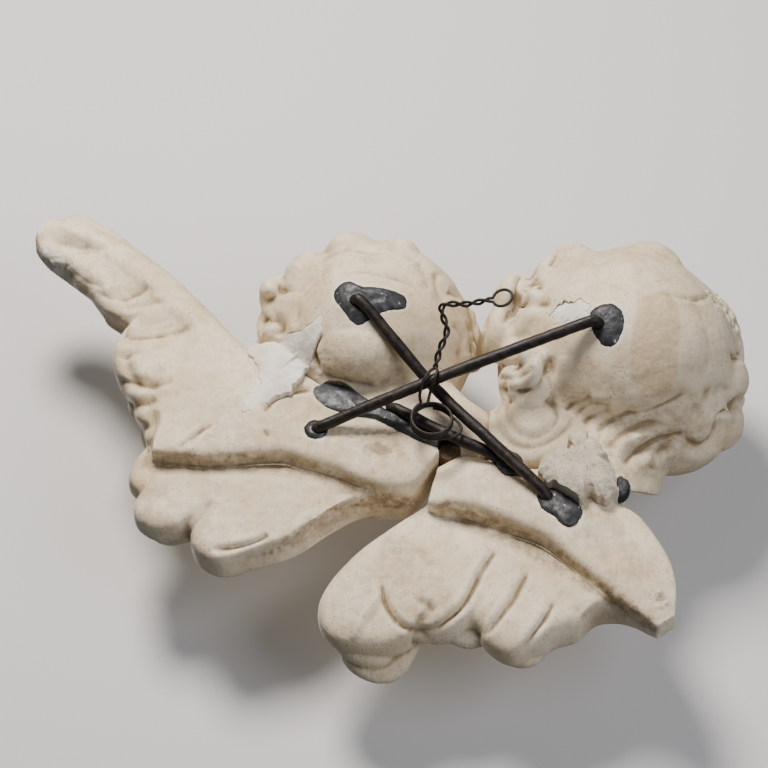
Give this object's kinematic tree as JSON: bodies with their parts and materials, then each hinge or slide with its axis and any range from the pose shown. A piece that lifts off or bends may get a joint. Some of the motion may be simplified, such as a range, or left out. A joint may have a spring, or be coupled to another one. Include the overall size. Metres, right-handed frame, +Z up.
{
  "type": "cherub wall plaque",
  "caption": "Carved marble relief of winged cherub heads, pieced together behind with iron rods, lead and plaster, and hung by an eye of twisted wire.",
  "frame": {"origin": "centre of the hanging eye at the end of the twisted wire", "axes": "as hung: +Z up, the wall on the side of +Y, the faces look to -Y; seen from behind, the high wing is on the left, towards +X"},
  "size_m": [0.4274, 0.1618, 0.316],
  "materials": {
    "marble": "aged matt",
    "rusty_iron": "dark rust",
    "lead": "dull lead",
    "plaster": "matt",
    "mortar": "grainy matt",
    "old_wood": "matt"
  },
  "bodies": {
    "root": {"left_head": "marble", "left_wings": "marble", "right_head": "marble", "right_wing": "marble", "rod_down": "rusty_iron", "rod_cross": "rusty_iron", "rod_short": "rusty_iron", "hanging_wire": "rusty_iron", "lead_left_head": "lead", "lead_left_wing": "lead", "lead_right_head": "lead", "lead_seam": "lead", "lead_right_wing": "lead", "lead_middle": "lead", "lead_neck": "lead", "plaster_left": "plaster", "plaster_right_head": "plaster", "mortar_right": "mortar", "dowel": "old_wood"}
  },
  "joints": []
}
